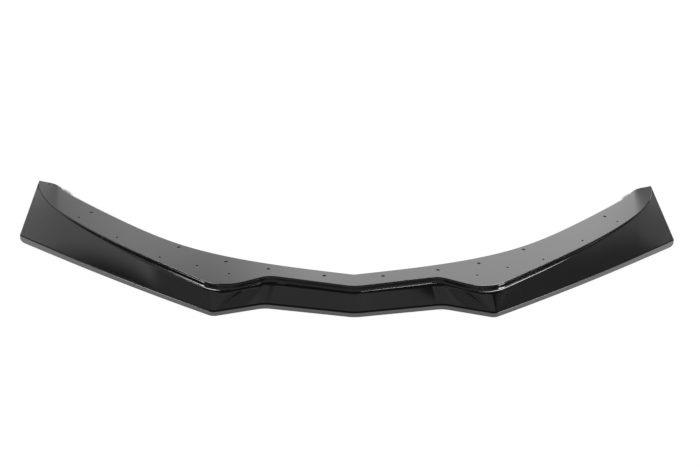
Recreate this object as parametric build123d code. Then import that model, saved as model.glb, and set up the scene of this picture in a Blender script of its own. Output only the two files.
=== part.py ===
"""Front splitter lip for a car: one moulded gloss plastic shell, open underneath.

The lip is drawn as a bundle of edge lines that run from the centre out to the wheel-arch tip:
flange edge, step foot, ledge edge, toe, rim top and rim foot. Ruled strips between neighbouring
lines make the outer skin, the same lines moved in by the wall make the inner skin, and the half
shell is mirrored across the car's centre plane.

Millimetres. X across the car, -Y forwards, Z up, standing on the foot of its rim. Sizes along Y
are measured back from the front tip. The finished part is centred on its own footprint.
"""
import os
from math import atan2, cos, degrees, radians, sin, tan
from typing import NamedTuple

from build123d import *

# Overall size
HALF_WIDTH = 916.5        # centre plane to the foot of the rim at the cut end
DEPTH = 654.0             # front tip to the rear corner of the ear
TIP_SWEEP = 374.0         # front tip to the foot of the rim at the cut end
FLANGE_HEIGHT = 60.0      # floor to the top of the mounting flange
EAR_DROP = 8.0            # how far the ear turns down below the flange
END_FLARE = 5.0           # how far the cut end leans out from the rim to the rear corner of the ear
WALL = 3.0

# Foot of the rim, seen from above. Headings are degrees back from straight across the car
NOSE_RADIUS = 90.0        # round of the shallow vee at the centre, on every edge line
RIM_BEND = (227.0, 41.0)
RIM_BEND_RADIUS = 70.0
RIM_CORNER = (354.0, 2.0)
RIM_CORNER_RADIUS = 25.0
RIM_KNEE_FROM_TIP = (116.5, 82.0)    # how far in and how far forward of the cut end
RIM_HEADINGS = (31.0, 35.0, 36.0)    # leaving the corner, at the knee, at the tip
RIM_END_RADIUS = 11.0     # round on the lower corner of the rim at the cut end

# Front edge of the flange, set back and in from the foot of the rim
NOSE_SET_BACK = 50.5
BEND_SET_BACK = 60.8
BEND_SET_IN = 8.6
BEND_RADIUS = 60.0
CORNER_SET_BACK = 36.4
CORNER_SET_IN = 18.9
CORNER_RADIUS = 100.0
KNEE_FROM_TIP = (99.3, 210.0)        # where the flat flange ends and the ear starts to fall
HEADINGS = (37.0, 49.0, 78.0)
EAR_LAND = 9.0            # width left at the cut end behind the flange edge

# Rear edge of the flange and of the ear
REAR_NOSE = 109.9         # front tip to the rear edge at the centre
REAR_NOSE_HEADING = 12.0
REAR_SHARES = ((0.2481, 0.251), (0.4942, 0.3926), (0.7006, 0.608))   # of half width and depth
REAR_KNEE_FROM_TIP = (93.3, 92.4)
REAR_KNEE_HEADING = 44.0
EAR_FROM_TIP = (62.1, 50.0)          # where the ear starts on the rear edge
EAR_HEADINGS = (50.0, 38.0)          # of the ear's rear edge, at its start and at the cut end

# Section of the lip at the front, at the knee and at the tip
STEP_DROP = (12.0, 3.5, 1.2)
STEP_RUN = (6.0, 1.8, 0.7)
LEDGE_WIDTH = (6.0, 2.5, 1.2)
LEDGE_FALL = 1.0
TOE_WIDTH = (4.5, 3.5, 2.5)
TOE_FALL = 2.5
RIM_HEIGHT = (11.5, 16.0, 18.0)
RIM_LEAN = 1.0            # the rim leans back by this much at its top
STEP_FILLET = 2.0         # in the foot of the step
RIM_ROUND = 2.0           # on the top edge of the rim
KNEE_CLIMB = 0.02         # rise of the lines between flange and rim, per mm of length, at the knee
SECTION_HEADINGS = (25.0, 42.0, 45.0)    # the wall is squared to these headings

# Fastener holes: share of the edge's length from the centre, and distance in from that edge
BOLT_DIAMETER = 8.5
BOLT_HOLES = ((0.075, 23.6), (0.2275, 26.7), (0.347, 27.5), (0.500, 15.8), (0.8395, 26.8))
SCREW_DIAMETER = 5.0
SCREW_HOLES = ((0.3342, 52.9), (0.4758, 47.8), (0.5856, 20.2), (0.756, 22.0), (0.9294, 19.8))
EAR_HOLE_DIAMETER = 6.0
EAR_HOLE = (0.395, 9.0)


REAR_POINTS = [(HALF_WIDTH * x, DEPTH * y) for x, y in REAR_SHARES]
RIM_KNEE = (HALF_WIDTH - RIM_KNEE_FROM_TIP[0], TIP_SWEEP - RIM_KNEE_FROM_TIP[1])
KNEE = (HALF_WIDTH - KNEE_FROM_TIP[0], DEPTH - KNEE_FROM_TIP[1])
REAR_KNEE = (HALF_WIDTH - REAR_KNEE_FROM_TIP[0], DEPTH - REAR_KNEE_FROM_TIP[1])
EAR_START = (HALF_WIDTH - EAR_FROM_TIP[0], DEPTH - EAR_FROM_TIP[1])


class Path(NamedTuple):
    """A line seen from above: nose, bend, corner, knee and tip, with its rounds and headings."""
    nose_y: float
    bend: tuple
    corner: tuple
    knee: tuple
    tip_y: float
    bend_radius: float
    corner_radius: float
    headings: tuple


class EdgeLine(NamedTuple):
    """One edge line of the skin: its path, then set-back and height at front, knee and tip."""
    path: Path
    back: tuple
    height: tuple
    climb: float


RIM_PATH = Path(0.0, RIM_BEND, RIM_CORNER, RIM_KNEE, TIP_SWEEP,
                RIM_BEND_RADIUS, RIM_CORNER_RADIUS, RIM_HEADINGS)
FLANGE_PATH = Path(NOSE_SET_BACK,
                   (RIM_BEND[0] - BEND_SET_IN, RIM_BEND[1] + BEND_SET_BACK),
                   (RIM_CORNER[0] - CORNER_SET_IN, RIM_CORNER[1] + CORNER_SET_BACK),
                   KNEE, DEPTH - EAR_LAND, BEND_RADIUS, CORNER_RADIUS, HEADINGS)
ZONES = (0, 1, 2)


def end_x(y):
    """How far out the cut end lies at this distance behind the front tip."""
    return HALF_WIDTH + END_FLARE * (y - TIP_SWEEP) / (DEPTH - TIP_SWEEP)


def heading(angle):
    """Unit vector on the plan, turned back from straight across the car."""
    return Vector(cos(radians(angle)), sin(radians(angle)))


def rounded(before, corner, after, radius):
    """Start, middle and end of the arc that rounds a corner on the plan."""
    u = (before - corner).normalized()
    v = (after - corner).normalized()
    half = radians(u.get_angle(v)) / 2
    centre = corner + (u + v).normalized() * (radius / sin(half))
    reach = radius / tan(half)
    return corner + u * reach, centre + (corner - centre).normalized() * radius, corner + v * reach


def raised(point, z):
    return (point.X, point.Y, z)


def curves(line):
    """The edge line as joined curves, from the centre plane out to the cut end."""
    path, back, (front_z, knee_z, tip_z), climb = line
    nose = Vector(0, path.nose_y + back[0])
    bend = Vector(path.bend[0], path.bend[1] + back[0])
    corner = Vector(path.corner[0], path.corner[1] + back[0])
    knee = Vector(path.knee[0], path.knee[1] + back[1])
    tip_y = path.tip_y + back[2]
    tip = Vector(end_x(tip_y), tip_y)
    arm_way, knee_way, tip_way = (heading(angle) for angle in path.headings)

    _, nose_mid, nose_end = rounded(Vector(-bend.X, bend.Y), nose, bend, NOSE_RADIUS)
    bend_arc = [raised(p, front_z) for p in rounded(nose, bend, corner, path.bend_radius)]
    corner_arc = [raised(p, front_z)
                  for p in rounded(bend, corner, corner + arm_way, path.corner_radius)]
    arm_start = Vector(*corner_arc[2][:2])
    arm = (knee - arm_start).length / 3
    tail = (tip - knee).length / 3
    return [
        TangentArc(raised(nose_mid, front_z), raised(nose_end, front_z), tangent=(1, 0, 0)),
        Line(raised(nose_end, front_z), bend_arc[0]),
        ThreePointArc(*bend_arc),
        Line(bend_arc[2], corner_arc[0]),
        ThreePointArc(*corner_arc),
        Bezier(corner_arc[2], raised(arm_start + arm_way * arm, front_z),
               raised(knee - knee_way * arm, knee_z - climb * arm), raised(knee, knee_z)),
        Bezier(raised(knee, knee_z),
               raised(knee + knee_way * tail, knee_z + climb * tail),
               raised(tip - tip_way * tail, knee_z + (tip_z - knee_z) * 2 / 3),
               raised(tip, tip_z)),
    ]


def outer_lines():
    """Edge lines of the outer skin, from the flange edge down to the foot of the rim."""
    flange_z = (FLANGE_HEIGHT, FLANGE_HEIGHT, FLANGE_HEIGHT - EAR_DROP)
    step_z = tuple(flange_z[i] - STEP_DROP[i] for i in ZONES)
    step_back = tuple(-STEP_RUN[i] for i in ZONES)
    ledge_z = tuple(z - LEDGE_FALL for z in step_z)
    ledge_back = tuple(step_back[i] - LEDGE_WIDTH[i] for i in ZONES)
    toe_z = tuple(z + TOE_FALL for z in RIM_HEIGHT)
    toe_back = tuple(width + RIM_LEAN for width in TOE_WIDTH)
    return [
        EdgeLine(FLANGE_PATH, (0.0,) * 3, flange_z, 0.0),
        EdgeLine(FLANGE_PATH, step_back, step_z, KNEE_CLIMB),
        EdgeLine(FLANGE_PATH, ledge_back, ledge_z, KNEE_CLIMB),
        EdgeLine(RIM_PATH, toe_back, toe_z, KNEE_CLIMB),
        EdgeLine(RIM_PATH, (RIM_LEAN,) * 3, RIM_HEIGHT, KNEE_CLIMB),
        EdgeLine(RIM_PATH, (0.0,) * 3, (0.0,) * 3, 0.0),
    ]


def section(lines, zone):
    """Where the edge lines cross the section in one zone, squared to the heading there."""
    squash = cos(radians(SECTION_HEADINGS[zone]))
    points = []
    for line in lines:
        y = (line.path.nose_y, line.path.knee[1], line.path.tip_y)[zone] + line.back[zone]
        points.append(Vector(y * squash, line.height[zone]))
    return points, squash


def inner_lines(lines):
    """The edge lines moved in by the wall, mitred where two strips meet."""
    moves = []
    for zone in ZONES:
        points, squash = section(lines, zone)
        ways = [Vector(-1, 0)] + [(b - a).normalized() for a, b in zip(points, points[1:])]
        inward = [Vector(-way.Y, way.X) for way in ways]
        mitres = [(m + n) * (WALL / (1 + m.dot(n))) for m, n in zip(inward, inward[1:])]
        mitres.append(Vector(WALL / inward[-1].X, 0))
        moves.append([(mitre.X / squash, mitre.Y) for mitre in mitres])
    moved = []
    for i, line in enumerate(lines):
        back = tuple(line.back[zone] + moves[zone][i][0] for zone in ZONES)
        height = tuple(line.height[zone] + moves[zone][i][1] for zone in ZONES)
        moved.append(EdgeLine(line.path, back, height, line.climb))
    return moved


def rear_curves(flange_z):
    """Rear edge of the flange as two curves, and of the ear that turns down beyond them."""
    knee = (*REAR_KNEE, flange_z)
    start = (*EAR_START, flange_z)
    corner = (end_x(DEPTH), DEPTH, flange_z - EAR_DROP)
    flange = Spline((0, REAR_NOSE, flange_z), *((x, y, flange_z) for x, y in REAR_POINTS), knee,
                    tangents=[heading(REAR_NOSE_HEADING), heading(REAR_KNEE_HEADING)])
    notch = Spline(knee, start, tangents=[heading(REAR_KNEE_HEADING), heading(EAR_HEADINGS[0])])
    reach = (Vector(*corner) - Vector(*start)).length / 3
    ear = Bezier(start, Vector(*start) + heading(EAR_HEADINGS[0]) * reach,
                 Vector(*corner) - heading(EAR_HEADINGS[1]) * reach + Vector(0, 0, EAR_DROP / 3), corner)
    return [flange, notch], ear


def strip(a, b):
    """Ruled strip between two curves."""
    return Face.make_surface_from_curves(a.edge(), b.edge())


def skin(lines, flange_z):
    """Flange, ear and front strips of one side of the wall, with the curves along their edges."""
    runs = [curves(line) for line in lines]
    rear, ear = rear_curves(flange_z)
    edge = runs[0]
    sides = [Line(edge[0] @ 0, rear[0] @ 0), Line(rear[-1] @ 1, edge[-1] @ 0)]
    flange = Face(Wire(sides + rear + edge[:-1]))
    faces = [flange, strip(edge[-1], ear)]
    for run, following in zip(runs, runs[1:]):
        faces += [strip(a, b) for a, b in zip(run, following)]
    return faces, runs, rear, ear


def half_shell():
    """The half of the lip on the +X side, with the curves of its outer edge lines and rear edge."""
    outer = outer_lines()
    top, top_runs, top_rear, top_ear = skin(outer, FLANGE_HEIGHT)
    under, under_runs, under_rear, under_ear = skin(inner_lines(outer), FLANGE_HEIGHT - WALL)
    top_rims = top_rear + [top_ear] + top_runs[-1]
    under_rims = under_rear + [under_ear] + under_runs[-1]
    faces = top + under + [strip(a, b) for a, b in zip(top_rims, under_rims)]
    centre = [top_rear[0] @ 0] + [run[0] @ 0 for run in top_runs]
    centre += [run[0] @ 0 for run in reversed(under_runs)] + [under_rear[0] @ 0]
    cut_end = [top_ear @ 1] + [run[-1] @ 1 for run in top_runs]
    cut_end += [run[-1] @ 1 for run in reversed(under_runs)] + [under_ear @ 1]
    for outline in (centre, cut_end):
        faces.append(Face(Wire(Polyline(*outline, close=True).edges())))
    return Solid(Shell(faces)), top_runs, top_rear[0], top_ear


def edges_along(solid, run):
    """The solid's own edges that lie on the curves of one edge line."""
    middles = [curve @ 0.5 for curve in run]
    return [edge for edge in solid.edges() if min((edge @ 0.5 - m).length for m in middles) < 0.1]


def drill(edge, share, set_in, diameter):
    """Hole straight down through the flange, set in to the left of an edge as it runs outwards."""
    foot = edge.position_at(share)
    along = edge.tangent_at(share)
    across = Vector(-along.Y, along.X).normalized()
    return Pos(foot + across * set_in) * Cylinder(diameter / 2, 4 * WALL)


def rim_end_waste():
    """What is cut away below the round on the rim's lower corner at the cut end."""
    radius = RIM_END_RADIUS
    block = Box(2 * radius, DEPTH, 2 * radius)
    round_bar = Pos(-radius, 0, radius) * Rot(90, 0, 0) * Cylinder(radius, DEPTH)
    lean = degrees(atan2(END_FLARE, DEPTH - TIP_SWEEP))
    return Pos(HALF_WIDTH, TIP_SWEEP, 0) * Rot(0, 0, -lean) * (block - round_bar)


def splitter_lip():
    """The whole lip: rounded, drilled and trimmed on one side, then mirrored."""
    half, runs, rear, ear = half_shell()
    _, step_foot, _, _, rim_top, _ = runs
    half = half.fillet(STEP_FILLET, edges_along(half, step_foot))
    half = half.fillet(RIM_ROUND, edges_along(half, rim_top))
    front = Wire(runs[0][:-1])
    holes = [drill(rear, share, -set_in, BOLT_DIAMETER) for share, set_in in BOLT_HOLES]
    holes += [drill(front, share, set_in, SCREW_DIAMETER) for share, set_in in SCREW_HOLES]
    holes.append(drill(ear, EAR_HOLE[0], -EAR_HOLE[1], EAR_HOLE_DIAMETER))
    half = half - holes - rim_end_waste()
    return half + mirror(half, Plane.YZ)


lip = splitter_lip()
footprint = lip.bounding_box().center()
lip = Pos(-footprint.X, -footprint.Y, 0) * lip
lip.label = "splitter_lip"

os.makedirs("parts", exist_ok=True)
export_step(lip, "parts/splitter_lip.step")
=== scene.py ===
"""Front splitter lip: the moulded shell as one smooth mesh in the shared frame, on a white floor.

Edge lines run from the centre out to the cut end, a closed section runs round them at each
station, and its corners are rounded as on the moulding. Sizes are in millimetres and measured back
from the front tip, like the CAD part's, and most have the CAD part's names and values. The mesh
differs from it in four things: its rounds are larger, the step leans out more on the arms and fades
out at the tip, the notch in front of the ear is sharper, and the mouths of the holes are chamfered.
"""

from math import acos, atan2, cos, pi, radians, sin, tan
from typing import NamedTuple

import bpy
import numpy as np
from mathutils import Matrix, Vector


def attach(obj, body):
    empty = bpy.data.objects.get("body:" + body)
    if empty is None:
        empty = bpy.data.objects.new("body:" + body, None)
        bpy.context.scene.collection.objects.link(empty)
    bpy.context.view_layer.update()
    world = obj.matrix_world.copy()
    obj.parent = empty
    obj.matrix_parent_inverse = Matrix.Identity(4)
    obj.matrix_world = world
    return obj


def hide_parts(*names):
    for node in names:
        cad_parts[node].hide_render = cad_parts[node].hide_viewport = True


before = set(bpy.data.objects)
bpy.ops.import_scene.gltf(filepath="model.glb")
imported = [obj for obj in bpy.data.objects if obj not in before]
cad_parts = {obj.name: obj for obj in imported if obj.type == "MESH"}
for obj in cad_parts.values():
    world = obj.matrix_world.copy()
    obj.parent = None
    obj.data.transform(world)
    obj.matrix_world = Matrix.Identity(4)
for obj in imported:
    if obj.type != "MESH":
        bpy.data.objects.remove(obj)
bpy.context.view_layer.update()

# Overall size
HALF_WIDTH = 916.5
DEPTH = 654.0
TIP_SWEEP = 374.0
FLANGE_HEIGHT = 60.0
EAR_DROP = 8.0
END_FLARE = 5.0
WALL = 3.0

# Foot of the rim, seen from above
NOSE_RADIUS = 90.0
RIM_BEND = (227.0, 41.0)
RIM_BEND_RADIUS = 70.0
RIM_CORNER = (354.0, 2.0)
RIM_CORNER_RADIUS = 25.0
RIM_KNEE = (HALF_WIDTH - 116.5, TIP_SWEEP - 82.0)
RIM_HEADINGS = (31.0, 35.0, 36.0)
RIM_END_RADIUS = 11.0

# Front edge of the flange
NOSE_SET_BACK = 50.5
BEND_SET_BACK = 60.8
BEND_SET_IN = 8.6
BEND_RADIUS = 60.0
CORNER_SET_BACK = 36.4
CORNER_SET_IN = 18.9
CORNER_RADIUS = 100.0
KNEE = (HALF_WIDTH - 99.3, DEPTH - 210.0)
HEADINGS = (37.0, 49.0, 78.0)
EAR_LAND = 9.0

# Rear edge of the flange: points with the edge's heading there, to the knee and on to the ear
REAR_TO_KNEE = (
    (0.0, 109.9, 12.0),
    (0.2481 * HALF_WIDTH, 0.251 * DEPTH, 16.2),
    (0.4942 * HALF_WIDTH, 0.3926 * DEPTH, 30.3),
    (0.7006 * HALF_WIDTH, 0.608 * DEPTH, 40.5),
    (HALF_WIDTH - 93.3, DEPTH - 92.4, 44.0),
)
REAR_EDGE = REAR_TO_KNEE + (
    (HALF_WIDTH - 83.5, DEPTH - 83.2, 48.0),
    (HALF_WIDTH - 74.5, DEPTH - 65.8, 70.0),
    (HALF_WIDTH - 62.1, DEPTH - 50.0, 50.0),
)
EAR_REAR_HEADING = 38.0    # of the ear's rear edge, at the cut end

# Section at the front, at the knee and at the tip. Runs and widths are measured along Y
STEP_DROP = (12.0, 3.5, 0.3)
STEP_RUN = (6.0, 3.3, 3.2)
LEDGE_WIDTH = (6.0, 1.6, 2.2)
LEDGE_FALL = (1.0, 0.8, 0.1)
TOE_WIDTH = (4.5, 3.5, 2.5)
TOE_FALL = 2.5
RIM_HEIGHT = (11.5, 16.0, 18.0)
RIM_LEAN = 1.0
KNEE_CLIMB = 0.02          # rise of the lines between flange and rim at the knee, per mm
SECTION_HEADINGS = (25.0, 42.0, 45.0)    # the wall is squared to these headings
END_ROUND = 0.3            # on the edges of the cut end
ZONES = (0, 1, 2)          # front, knee and tip

# Fastener holes: share of the edge's length from the centre, and distance in from that edge
BOLT_DIAMETER = 8.5
BOLT_HOLES = ((0.075, 23.6), (0.2275, 26.7), (0.347, 27.5), (0.500, 15.8), (0.8395, 26.8))
SCREW_DIAMETER = 5.0
SCREW_HOLES = ((0.3342, 52.9), (0.4758, 47.8), (0.5856, 20.2), (0.756, 22.0), (0.9294, 19.8))
EAR_HOLE_DIAMETER = 6.0
EAR_HOLE = (0.395, 9.0)
HOLE_CHAMFER = 0.5
DRILL_BELOW = 3 * WALL     # how far the drill shapes reach below and above the top face
DRILL_ABOVE = 2 * WALL

# Fineness of the mesh and of the dense lines that places are measured on
HOLE_STEPS = 40
END_STEPS = 5
RUN_STEPS = 200            # along each run of a dense edge line
REAR_STEPS = 400           # along each piece of the dense rear edge
WAY_STEP = 0.001           # share of a line's length over which its direction is taken
NEAR_CORNER = 0.02         # a strip's outermost points lie this share of it from its corners
SHARP_ANGLE = 38.0         # edges that turn by more degrees than this stay sharp

# Where the CAD part, which is centred on its footprint, has the front tip
FRONT_TIP_Y = -327.728
MM = 0.001                 # in metres

# Gloss plastic
GLOSS_IOR = 1.58
COAT_ROUGHNESS = 0.03
ROUGHNESS = (0.08, 0.13)
DARKEST = (0.0018, 0.0018, 0.002, 1)
PALEST = (0.003, 0.003, 0.0033, 1)
TONE_RANGE = (0.35, 0.65)      # noise values that give the darkest and the palest tone
POLISH_RANGE = (0.3, 0.7)      # and the least and the most roughness

# Floor, in metres
FLOOR_WHITE = 0.95
FLOOR_REACH = 60.0

# Camera at the photograph's viewing angle, in metres and radians
CAMERA_PLACE = (-0.10627, -2.56463, 1.48187)
CAMERA_PITCH = 0.506145
CAMERA_YAW = -0.040092
CAMERA_ROLL = 0.026631
CAMERA_LENS = 55.0             # millimetres, and so is the sensor
CAMERA_SENSOR = 36.0
CAMERA_REACH = 200.0


class Path(NamedTuple):
    """A line seen from above: nose, bend, corner, knee and tip, with its rounds and headings."""
    nose_y: float
    bend: tuple
    corner: tuple
    knee: tuple
    tip_y: float
    bend_radius: float
    corner_radius: float
    headings: tuple


class EdgeLine(NamedTuple):
    """One edge line of the skin: its path, then set-back and height at front, knee and tip."""
    path: Path
    back: tuple
    height: tuple
    climb: float


class Corner(NamedTuple):
    """How a corner of the section is rounded, and how many points lie between it and the next."""
    radius: float
    points: int
    share_before: float
    share_after: float
    between: int


class Panel(NamedTuple):
    """Soft panel of light. Angles in degrees as (middle, half, fade), the azimuth from the back."""
    azimuth: tuple
    elevation: tuple
    strength: float


DARK_CORNERS = 0.015       # level of the room between the panels
PANELS = (
    Panel((0, 125, 8), (30, 18, 8), 0.10),          # walls of the room
    Panel((-167, 62, 6), (62, 7, 5), 0.20),         # high fill in front
    Panel((152, 24, 6), (37, 11, 10), 0.15),        # lower fill in front, on the right
    Panel((-152, 24, 6), (37, 11, 10), 0.15),       # the same on the left
    Panel((-52.5, 26.5, 6), (30, 15, 8), 0.34),     # wide fill on the left
    Panel((-97, 15, 8), (42, 12, 8), 0.06),         # weak fill on the left
    Panel((-15, 7, 12), (20, 9, 4), 0.30),          # low fill behind, on the left
    Panel((48, 14, 16), (24, 12, 10), 0.17),        # weak fill on the right
    Panel((5, 15, 8), (26, 8, 4), 0.48),            # sheet behind the lip
    Panel((8.5, 7.5, 8), (26, 8, 4), 0.80),         # its brighter middle
    Panel((-20, 5, 1.5), (50, 8, 4), 7.5),          # back lamp on the left
    Panel((23, 12, 3), (48.5, 5, 1.5), 9.0),        # back lamp on the right
    Panel((112, 9, 3), (22, 7, 3), 8.0),            # strip on the right
    Panel((-109, 4, 2), (22, 7, 3), 8.0),           # strip on the left
)
ROOM_LIGHT = 0.2           # what the room gives the floor

# Key light: angles in degrees, the azimuth from straight over the front
KEY_ELEVATION = 36.0
KEY_AZIMUTH = 3.5
KEY_STRENGTH = 4.73
KEY_SOFTNESS = 6.0

RIM_PATH = Path(0.0, RIM_BEND, RIM_CORNER, RIM_KNEE, TIP_SWEEP,
                RIM_BEND_RADIUS, RIM_CORNER_RADIUS, RIM_HEADINGS)
FLANGE_PATH = Path(NOSE_SET_BACK,
                   (RIM_BEND[0] - BEND_SET_IN, RIM_BEND[1] + BEND_SET_BACK),
                   (RIM_CORNER[0] - CORNER_SET_IN, RIM_CORNER[1] + CORNER_SET_BACK),
                   KNEE, DEPTH - EAR_LAND, BEND_RADIUS, CORNER_RADIUS, HEADINGS)

# Stations along each run of an edge line, as shares of the run. Straights have them closer at both
# ends. The end blade has them closer at the cut end and stops short of it, where its round begins
EASED = np.array([0.03, 0.12, 0.3, 0.5, 0.7, 0.88, 0.97, 1.0])
BLADE = np.concatenate([np.linspace(0, 0.9, 51)[1:], np.linspace(0.9, 0.98, 20)[1:]])
RUNS = (
    np.linspace(0, 1, 13),          # nose
    EASED,                          # straight to the bend
    np.linspace(0, 1, 25)[1:],      # bend
    EASED,                          # straight to the corner
    np.linspace(0, 1, 41)[1:],      # corner
    np.linspace(0, 1, 141)[1:],     # arm
    BLADE,                          # end blade
)

# Corners of the closed section: outer skin from the rear edge to the foot, then the inner skin
CORNERS = (
    Corner(0.9, 5, 0.4, 0.1, 7),       # rear edge, top
    Corner(6.0, 11, 0.03, 0.48, 0),    # flange edge
    Corner(10.0, 11, 0.5, 0.28, 0),    # step foot
    Corner(25.0, 16, 0.6, 0.32, 9),    # ledge edge
    Corner(2.0, 8, 0.1, 0.5, 0),       # toe
    Corner(2.2, 9, 0.45, 0.3, 3),      # rim top
    Corner(0.7, 4, 0.1, 0.4, 0),       # rim foot, outer
    Corner(0.7, 4, 0.4, 0.1, 2),       # rim foot, inner
    Corner(1.5, 4, 0.3, 0.45, 0),      # rim top, inner
    Corner(3.0, 5, 0.45, 0.1, 5),      # toe, inner
    Corner(4.0, 5, 0.1, 0.45, 0),      # ledge edge, inner
    Corner(2.0, 5, 0.45, 0.45, 0),     # step foot, inner
    Corner(2.0, 5, 0.45, 0.1, 5),      # flange edge, inner
    Corner(0.9, 5, 0.1, 0.4, 0),       # rear edge, underside
)


def unit(v):
    """Vectors brought to length 1."""
    return v / np.linalg.norm(v, axis=-1, keepdims=True)


def end_x(y):
    """How far out the cut end lies at this distance behind the front tip."""
    return HALF_WIDTH + END_FLARE * (y - TIP_SWEEP) / (DEPTH - TIP_SWEEP)


def heading(angle):
    """Unit vector on the plan, turned back from straight across the car."""
    return np.array([cos(radians(angle)), sin(radians(angle))])


def rounded(before, corner, after, radius):
    """The arc that rounds a corner on the plan: its centre, start and end."""
    u = unit(before - corner)
    v = unit(after - corner)
    half = acos(u @ v) / 2
    centre = corner + unit(u + v) * (radius / sin(half))
    reach = radius / tan(half)
    return centre, corner + u * reach, corner + v * reach


def along_arc(centre, start, end, t):
    """Points of an arc on the plan at shares t of its turn."""
    a = start - centre
    b = end - centre
    turn = atan2(a[0] * b[1] - a[1] * b[0], a @ b) * t
    c, s = np.cos(turn), np.sin(turn)
    return centre + np.stack([a[0] * c - a[1] * s, a[0] * s + a[1] * c], 1)


def along_line(start, end, t):
    """Points of a straight line at shares t."""
    return start + (end - start) * t[:, None]


def along_bezier(points, t):
    """Points of a cubic Bezier curve at parameters t."""
    a, b, c, d = (np.asarray(p, float) for p in points)
    t = t[:, None]
    s = 1 - t
    return a * s**3 + 3 * b * s**2 * t + 3 * c * s * t**2 + d * t**3


def raised(plan, z):
    """Points on the plan, set at one height."""
    return np.column_stack([plan, np.full(len(plan), z)])


def stations(line, runs):
    """Points along an edge line at every station, from the centre plane out to the cut end."""
    path, back, (front_z, knee_z, tip_z), climb = line
    nose = np.array([0, path.nose_y + back[0]])
    bend = np.array([path.bend[0], path.bend[1] + back[0]])
    corner = np.array([path.corner[0], path.corner[1] + back[0]])
    knee = np.array([path.knee[0], path.knee[1] + back[1]])
    tip_y = path.tip_y + back[2]
    tip = np.array([end_x(tip_y), tip_y])
    arm_way, knee_way, tip_way = (heading(angle) for angle in path.headings)

    nose_centre, _, nose_end = rounded(bend * (-1, 1), nose, bend, NOSE_RADIUS)
    nose_mid = nose_centre - (0, NOSE_RADIUS)
    bend_arc = rounded(nose, bend, corner, path.bend_radius)
    corner_arc = rounded(bend, corner, corner + arm_way, path.corner_radius)
    front = np.concatenate([
        along_arc(nose_centre, nose_mid, nose_end, runs[0]),
        along_line(nose_end, bend_arc[1], runs[1]),
        along_arc(*bend_arc, runs[2]),
        along_line(bend_arc[2], corner_arc[1], runs[3]),
        along_arc(*corner_arc, runs[4]),
    ])
    arm = np.linalg.norm(knee - corner_arc[2]) / 3
    tail = np.linalg.norm(tip - knee) / 3
    arm_curve = ((*corner_arc[2], front_z), (*(corner_arc[2] + arm_way * arm), front_z),
                 (*(knee - knee_way * arm), knee_z - climb * arm), (*knee, knee_z))
    tail_curve = ((*knee, knee_z), (*(knee + knee_way * tail), knee_z + climb * tail),
                  (*(tip - tip_way * tail), knee_z + (tip_z - knee_z) * 2 / 3), (*tip, tip_z))
    return np.concatenate([raised(front, front_z), along_bezier(arm_curve, runs[5]),
                           along_bezier(tail_curve, runs[6])])


def outer_lines():
    """Edge lines of the outer skin, from the flange edge down to the foot of the rim."""
    flange_z = (FLANGE_HEIGHT, FLANGE_HEIGHT, FLANGE_HEIGHT - EAR_DROP)
    step_z = tuple(flange_z[i] - STEP_DROP[i] for i in ZONES)
    step_back = tuple(-STEP_RUN[i] for i in ZONES)
    ledge_z = tuple(step_z[i] - LEDGE_FALL[i] for i in ZONES)
    ledge_back = tuple(step_back[i] - LEDGE_WIDTH[i] for i in ZONES)
    toe_z = tuple(z + TOE_FALL for z in RIM_HEIGHT)
    toe_back = tuple(width + RIM_LEAN for width in TOE_WIDTH)
    return [
        EdgeLine(FLANGE_PATH, (0.0,) * 3, flange_z, 0.0),
        EdgeLine(FLANGE_PATH, step_back, step_z, KNEE_CLIMB),
        EdgeLine(FLANGE_PATH, ledge_back, ledge_z, KNEE_CLIMB),
        EdgeLine(RIM_PATH, toe_back, toe_z, KNEE_CLIMB),
        EdgeLine(RIM_PATH, (RIM_LEAN,) * 3, RIM_HEIGHT, KNEE_CLIMB),
        EdgeLine(RIM_PATH, (0.0,) * 3, (0.0,) * 3, 0.0),
    ]


def inner_lines(lines):
    """The edge lines moved in by the wall, mitred where two strips meet."""
    moves = []
    for zone in ZONES:
        squash = cos(radians(SECTION_HEADINGS[zone]))
        y = [(line.path.nose_y, line.path.knee[1], line.path.tip_y)[zone] + line.back[zone]
             for line in lines]
        points = np.column_stack([np.array(y) * squash, [line.height[zone] for line in lines]])
        ways = np.vstack([(-1, 0), unit(np.diff(points, axis=0))])
        inward = np.column_stack([-ways[:, 1], ways[:, 0]])
        mitres = [(m + n) * (WALL / (1 + m @ n)) for m, n in zip(inward, inward[1:])]
        mitres.append(np.array([WALL / inward[-1][0], 0]))
        moves.append([(mitre[0] / squash, mitre[1]) for mitre in mitres])
    moved = []
    for i, line in enumerate(lines):
        back = tuple(line.back[zone] + moves[zone][i][0] for zone in ZONES)
        height = tuple(line.height[zone] + moves[zone][i][1] for zone in ZONES)
        moved.append(EdgeLine(line.path, back, height, line.climb))
    return moved


def swung(a, b, climb_a=0.0, climb_b=0.0):
    """Bezier points from a to b, each (x, y, z, heading), with the climb at each end."""
    start, end = np.array(a[:3]), np.array(b[:3])
    third = np.linalg.norm((end - start)[:2]) / 3
    return (start, start + (*(heading(a[3]) * third), climb_a * third),
            end - (*(heading(b[3]) * third), climb_b * third), end)


def length_shares(points):
    """How far along the line each of its points lies, as a share of its length."""
    steps = np.linalg.norm(np.diff(points, axis=0), axis=1)
    run = np.concatenate([[0], np.cumsum(steps)])
    return run / run[-1]


def at_shares(points, shares):
    """Points at these shares of a dense line's length."""
    run = length_shares(points)
    return np.column_stack([np.interp(shares, run, points[:, i]) for i in range(3)])


def rear_flange(edge):
    """Dense line along the rear edge of the flange, through these points of it."""
    t = np.linspace(0, 1, REAR_STEPS)
    knots = [(x, y, FLANGE_HEIGHT, way) for x, y, way in edge]
    return np.concatenate([along_bezier(swung(a, b), t) for a, b in zip(knots, knots[1:])])


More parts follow.
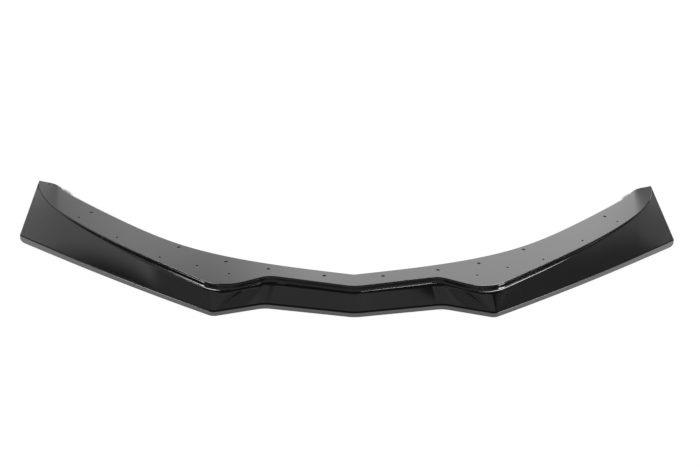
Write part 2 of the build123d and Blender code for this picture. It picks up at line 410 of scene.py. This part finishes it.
def rear_ear(t):
    """Points along the rear edge of the ear at shares t."""
    x, y, way = REAR_EDGE[-1]
    start = (x, y, FLANGE_HEIGHT, way)
    corner = (end_x(DEPTH), DEPTH, FLANGE_HEIGHT - EAR_DROP, EAR_REAR_HEADING)
    fall = EAR_DROP / np.hypot(end_x(DEPTH) - x, DEPTH - y)
    return along_bezier(swung(start, corner, 0, -fall), t)


def rear_line(flange_edge, tail):
    """Rear edge at every station: the flange's, in step with the flange edge, then the ear's."""
    shares = length_shares(flange_edge[:-len(tail)])
    return np.concatenate([at_shares(rear_flange(REAR_EDGE), shares), rear_ear(tail)])


def lift_rim_end(points):
    """Raises the foot round the lower corner of the rim at the cut end."""
    over = np.clip(RIM_END_RADIUS - (end_x(points[:, 1]) - points[:, 0]), 0, RIM_END_RADIUS)
    rise = RIM_END_RADIUS - np.sqrt(RIM_END_RADIUS**2 - over**2)
    lifted = points.copy()
    lifted[:, 2] = np.maximum(points[:, 2], rise)
    return lifted


def section_lines():
    """The corner lines of the closed section at every station, in the order of CORNERS."""
    outer = outer_lines()
    top = [stations(line, RUNS) for line in outer]
    under = [stations(line, RUNS) for line in inner_lines(outer)]
    rear = rear_line(top[0], BLADE)
    top[-1] = lift_rim_end(top[-1])
    under[-1] = lift_rim_end(under[-1])
    return [rear] + top + under[::-1] + [rear - (0, 0, WALL)]


def round_corner(before, corner, after, rule):
    """Points that round a section corner at every station: an arc, or an oval if room is short."""
    u, v = before - corner, after - corner
    room_u = np.linalg.norm(u, axis=1) * rule.share_before
    room_v = np.linalg.norm(v, axis=1) * rule.share_after
    u, v = unit(u), unit(v)
    half = np.arccos(np.clip((u * v).sum(1), -1, 1)) / 2
    reach = rule.radius / np.tan(half)
    start = corner + u * np.minimum(reach, room_u)[:, None]
    end = corner + v * np.minimum(reach, room_v)[:, None]
    blend = []
    for t in np.linspace(0, 1, rule.points):
        near, far = (1 - t)**2, t**2
        pull = (2 * t * (1 - t) * np.sin(half))[:, None]
        blend.append((start * near + corner * pull + end * far) / (near + pull + far))
    return blend


def closed_section(lines):
    """Every line of points along the lip: rounded corners and what lies between them."""
    count = len(lines)
    arcs = [round_corner(lines[i - 1], lines[i], lines[(i + 1) % count], CORNERS[i])
            for i in range(count)]
    loop = []
    for i, rule in enumerate(CORNERS):
        loop += arcs[i]
        start, end = arcs[i][-1], arcs[(i + 1) % count][0]
        if rule.between > 2:
            shares = [NEAR_CORNER, *np.linspace(0, 1, rule.between)[1:-1], 1 - NEAR_CORNER]
        else:
            shares = np.linspace(0, 1, rule.between + 2)[1:-1]
        loop += [start + (end - start) * share for share in shares]
    return np.stack(loop, 1)


def end_rings(grid):
    """Rings that round the last edge over into the flat of the cut end."""
    last = grid[-1]
    ways = unit(grid[-1] - grid[-2])
    plane = unit(np.array([1.0, -END_FLARE / (DEPTH - TIP_SWEEP), 0.0]))
    short = (end_x(last[:, 1]) - last[:, 0]) * plane[0]
    face = last + ways * (short / (ways @ plane))[:, None]
    along = np.roll(face, -1, 0) - np.roll(face, 1, 0)
    inward = unit(np.cross(plane, along))
    rings = []
    for angle in np.linspace(0, pi / 2, END_STEPS):
        behind = END_ROUND * (1 - sin(angle)) / (ways @ plane)
        rings.append(face - ways * behind[:, None] + inward * (END_ROUND * (1 - cos(angle))))
    return np.stack(rings)


def whole_grid():
    """Points of the whole lip: stations from cut end to cut end, by points of the section."""
    half = closed_section(section_lines())
    half = np.concatenate([half, end_rings(half)])
    left = half[:0:-1] * (-1, 1, 1)
    return np.concatenate([left, half])


def placed(points):
    """From millimetres behind the front tip to metres in the shared frame."""
    return (np.asarray(points) + (0, FRONT_TIP_Y, 0)) * MM


def mesh_object(name, points, faces):
    """A new object in the scene with this mesh."""
    mesh = bpy.data.meshes.new(name)
    mesh.from_pydata([tuple(p) for p in points], [], [tuple(f) for f in faces])
    mesh.validate()
    mesh.update()
    made = bpy.data.objects.new(name, mesh)
    bpy.context.scene.collection.objects.link(made)
    return made


def shell_object():
    """The shell before it is drilled: strips of quads, and a flat face on each cut end."""
    grid = whole_grid()
    rows, around = grid.shape[:2]
    at = np.arange(rows * around).reshape(rows, around)
    onward = np.roll(at, -1, 1)
    quads = np.stack([at[:-1], onward[:-1], onward[1:], at[1:]], -1).reshape(-1, 4)
    faces = [tuple(q) for q in quads] + [tuple(at[0][::-1]), tuple(at[-1])]
    return mesh_object("splitter_lip_shell", placed(grid.reshape(-1, 3)), faces)


def hole_places():
    """Centre on the top face and diameter of every hole on one side."""
    runs = [np.linspace(0, 1, RUN_STEPS)] * len(RUNS)
    front = stations(outer_lines()[0], runs)[:-RUN_STEPS]
    rear = rear_flange(REAR_TO_KNEE)
    ear = rear_ear(np.linspace(0, 1, REAR_STEPS))

    def place(line, share, set_in):
        foot, ahead = at_shares(line, [share, share + WAY_STEP])
        way = unit((ahead - foot)[:2])
        return foot + (-way[1] * set_in, way[0] * set_in, 0)

    holes = [(place(rear, share, -set_in), BOLT_DIAMETER) for share, set_in in BOLT_HOLES]
    holes += [(place(front, share, set_in), SCREW_DIAMETER) for share, set_in in SCREW_HOLES]
    holes.append((place(ear, EAR_HOLE[0], -EAR_HOLE[1]), EAR_HOLE_DIAMETER))
    return holes


def hole_cutter():
    """One mesh of drill shapes, each flaring out in a small chamfer at the top face."""
    turn = np.linspace(0, 2 * pi, HOLE_STEPS, endpoint=False)
    points, faces = [], []
    for centre, diameter in hole_places():
        radius = diameter / 2
        profile = [(radius, -DRILL_BELOW), (radius, -HOLE_CHAMFER),
                   (radius + HOLE_CHAMFER + DRILL_ABOVE, DRILL_ABOVE)]
        for side in (1, -1):
            base = len(points)
            for r, z in profile:
                ring = raised(np.column_stack([np.cos(turn), np.sin(turn)]) * r, z)
                points.extend((ring + centre) * (side, 1, 1))
            for level in range(len(profile) - 1):
                low = base + level * HOLE_STEPS
                high = low + HOLE_STEPS
                for i in range(HOLE_STEPS):
                    j = (i + 1) % HOLE_STEPS
                    faces.append((low + i, low + j, high + j, high + i)[::side])
            bottom = tuple(range(base, base + HOLE_STEPS))
            top = tuple(range(len(points) - HOLE_STEPS, len(points)))
            faces.append(bottom[::-side])
            faces.append(top[::side])
    return mesh_object("hole_cutter", placed(points), faces)


def drilled(shell, cutter):
    """Cuts the holes and shades the shell smooth, keeping the sharp edges of the holes."""
    cut = shell.modifiers.new("holes", "BOOLEAN")
    cut.operation = "DIFFERENCE"
    cut.solver = "EXACT"
    cut.object = cutter
    seen = shell.evaluated_get(bpy.context.evaluated_depsgraph_get())
    mesh = bpy.data.meshes.new_from_object(seen)
    shell.modifiers.clear()
    old = shell.data
    shell.data = mesh
    mesh.name = "splitter_lip_shell"
    bpy.data.meshes.remove(old)
    cutter_mesh = cutter.data
    bpy.data.objects.remove(cutter)
    bpy.data.meshes.remove(cutter_mesh)
    mesh.shade_smooth()
    mesh.set_sharp_from_angle(angle=radians(SHARP_ANGLE))
    return shell


def link(tree, source, target):
    """Joins a node's output to another's input."""
    tree.links.new(source, target)


def math_node(tree, operation, *values):
    """A Math node on these values, each a number or another node's output: gives its output."""
    node = tree.nodes.new("ShaderNodeMath")
    node.operation = operation
    for socket, value in zip(node.inputs, values):
        if isinstance(value, (int, float)):
            socket.default_value = value
        else:
            link(tree, value, socket)
    return node.outputs[0]


def gloss_black():
    """Black gloss plastic: faint tone drift, polish that varies, mould ripple and orange peel."""
    material = bpy.data.materials.new("gloss_black")
    material.use_nodes = True
    tree = material.node_tree
    nodes = tree.nodes
    shader = nodes["Principled BSDF"]
    shader.inputs["IOR"].default_value = GLOSS_IOR
    shader.inputs["Coat Weight"].default_value = 1.0
    shader.inputs["Coat IOR"].default_value = GLOSS_IOR
    shader.inputs["Coat Roughness"].default_value = COAT_ROUGHNESS
    place = nodes.new("ShaderNodeTexCoord")

    def noise(scale, detail):
        node = nodes.new("ShaderNodeTexNoise")
        node.inputs["Scale"].default_value = scale
        node.inputs["Detail"].default_value = detail
        link(tree, place.outputs["Object"], node.inputs["Vector"])
        return node.outputs["Fac"]

    def bump(height, distance, strength, normal=None):
        node = nodes.new("ShaderNodeBump")
        node.inputs["Strength"].default_value = strength
        node.inputs["Distance"].default_value = distance
        link(tree, height, node.inputs["Height"])
        if normal is not None:
            link(tree, normal, node.inputs["Normal"])
        return node.outputs["Normal"]

    tone = nodes.new("ShaderNodeValToRGB")
    for stop, position, colour in zip(tone.color_ramp.elements, TONE_RANGE, (DARKEST, PALEST)):
        stop.position = position
        stop.color = colour
    link(tree, noise(scale=3.0, detail=3.0), tone.inputs["Fac"])
    link(tree, tone.outputs["Color"], shader.inputs["Base Color"])

    polish = nodes.new("ShaderNodeMapRange")
    polish.inputs["From Min"].default_value, polish.inputs["From Max"].default_value = POLISH_RANGE
    polish.inputs["To Min"].default_value, polish.inputs["To Max"].default_value = ROUGHNESS
    link(tree, noise(scale=25.0, detail=3.0), polish.inputs["Value"])
    link(tree, polish.outputs["Result"], shader.inputs["Roughness"])

    ripple = bump(noise(scale=9.0, detail=1.0), distance=0.0002, strength=0.1)
    peel = bump(noise(scale=300.0, detail=1.0), distance=0.00001, strength=0.1, normal=ripple)
    link(tree, peel, shader.inputs["Normal"])
    return material


def white_floor():
    """Plain white floor, clear from below."""
    material = bpy.data.materials.new("white_floor")
    material.use_nodes = True
    tree = material.node_tree
    nodes = tree.nodes
    nodes.remove(nodes["Principled BSDF"])
    diffuse = nodes.new("ShaderNodeBsdfDiffuse")
    diffuse.inputs["Color"].default_value = (FLOOR_WHITE, FLOOR_WHITE, FLOOR_WHITE, 1)
    clear = nodes.new("ShaderNodeBsdfTransparent")
    side = nodes.new("ShaderNodeNewGeometry")
    both = nodes.new("ShaderNodeMixShader")
    link(tree, side.outputs["Backfacing"], both.inputs[0])
    link(tree, diffuse.outputs[0], both.inputs[1])
    link(tree, clear.outputs[0], both.inputs[2])
    link(tree, both.outputs[0], nodes["Material Output"].inputs["Surface"])
    return material


def floor_object():
    """The floor that the lip stands on, far wider than the view."""
    sides = ((-1, -1), (1, -1), (1, 1), (-1, 1))
    corners = [(x * FLOOR_REACH, y * FLOOR_REACH, 0) for x, y in sides]
    floor = mesh_object("floor", corners, [(0, 1, 2, 3)])
    floor.data.materials.append(white_floor())
    return floor


def studio_world():
    """An even dim room with panels that only the gloss shows, and white past the floor's edge."""
    world = bpy.data.worlds.new("studio")
    bpy.context.scene.world = world
    world.use_nodes = True
    tree = world.node_tree
    nodes = tree.nodes
    place = nodes.new("ShaderNodeTexCoord")
    split = nodes.new("ShaderNodeSeparateXYZ")
    link(tree, place.outputs["Generated"], split.inputs[0])
    azimuth = math_node(tree, "ARCTAN2", split.outputs["X"], split.outputs["Y"])
    elevation = math_node(tree, "ARCSINE", split.outputs["Z"])

    def window(angle, middle, half, fade):
        turned = math_node(tree, "SUBTRACT", angle, radians(middle))
        away = math_node(tree, "ABSOLUTE", math_node(tree, "WRAP", turned, pi, -pi))
        node = nodes.new("ShaderNodeMapRange")
        node.interpolation_type = "SMOOTHSTEP"
        node.inputs["From Min"].default_value = radians(half + fade)
        node.inputs["From Max"].default_value = radians(half)
        link(tree, away, node.inputs["Value"])
        return node.outputs["Result"]

    panels = DARK_CORNERS
    for panel in PANELS:
        across = window(azimuth, *panel.azimuth)
        up = window(elevation, *panel.elevation)
        shape = math_node(tree, "MULTIPLY", across, up)
        light = math_node(tree, "MULTIPLY", shape, panel.strength)
        panels = math_node(tree, "ADD", panels, light)
    rays = nodes.new("ShaderNodeLightPath").outputs
    white = math_node(tree, "MAXIMUM", rays["Is Camera Ray"], rays["Is Transmission Ray"])
    room = math_node(tree, "MULTIPLY", rays["Is Diffuse Ray"], ROOM_LIGHT)
    gloss = math_node(tree, "MULTIPLY", rays["Is Glossy Ray"], panels)
    level = math_node(tree, "MAXIMUM", math_node(tree, "MAXIMUM", white, room), gloss)
    link(tree, level, nodes["Background"].inputs["Strength"])
    nodes["Background"].inputs["Color"].default_value = (1, 1, 1, 1)


def key_light():
    """Soft light from over the camera, so that the lip hides the shadow it throws back."""
    lamp = bpy.data.lights.new("key_light", "SUN")
    lamp.energy = KEY_STRENGTH
    lamp.angle = radians(KEY_SOFTNESS)
    made = bpy.data.objects.new("key_light", lamp)
    bpy.context.scene.collection.objects.link(made)
    made.rotation_euler = (radians(90 - KEY_ELEVATION), 0, -radians(KEY_AZIMUTH))
    made.visible_glossy = False


def photo_camera():
    """Camera at the photograph's viewing angle."""
    data = bpy.data.cameras.new("photo_camera")
    data.sensor_fit = "HORIZONTAL"
    data.sensor_width = CAMERA_SENSOR
    data.lens = CAMERA_LENS
    data.clip_end = CAMERA_REACH
    made = bpy.data.objects.new("photo_camera", data)
    bpy.context.scene.collection.objects.link(made)
    turn = Matrix.Rotation(CAMERA_YAW, 4, "Z")
    level = turn @ Vector((1, 0, 0))
    upright = turn @ Vector((0, sin(CAMERA_PITCH), cos(CAMERA_PITCH)))
    ahead = turn @ Vector((0, cos(CAMERA_PITCH), -sin(CAMERA_PITCH)))
    right = level * cos(CAMERA_ROLL) + upright * sin(CAMERA_ROLL)
    up = upright * cos(CAMERA_ROLL) - level * sin(CAMERA_ROLL)
    made.matrix_world = Matrix((
        (right.x, up.x, -ahead.x, CAMERA_PLACE[0]),
        (right.y, up.y, -ahead.y, CAMERA_PLACE[1]),
        (right.z, up.z, -ahead.z, CAMERA_PLACE[2]),
        (0, 0, 0, 1),
    ))
    bpy.context.scene.camera = made


lip = drilled(shell_object(), hole_cutter())
lip.data.materials.clear()
lip.data.materials.append(gloss_black())
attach(lip, "root")
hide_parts("splitter_lip")

floor_object()
studio_world()
key_light()
photo_camera()
bpy.context.scene.view_settings.view_transform = "Standard"
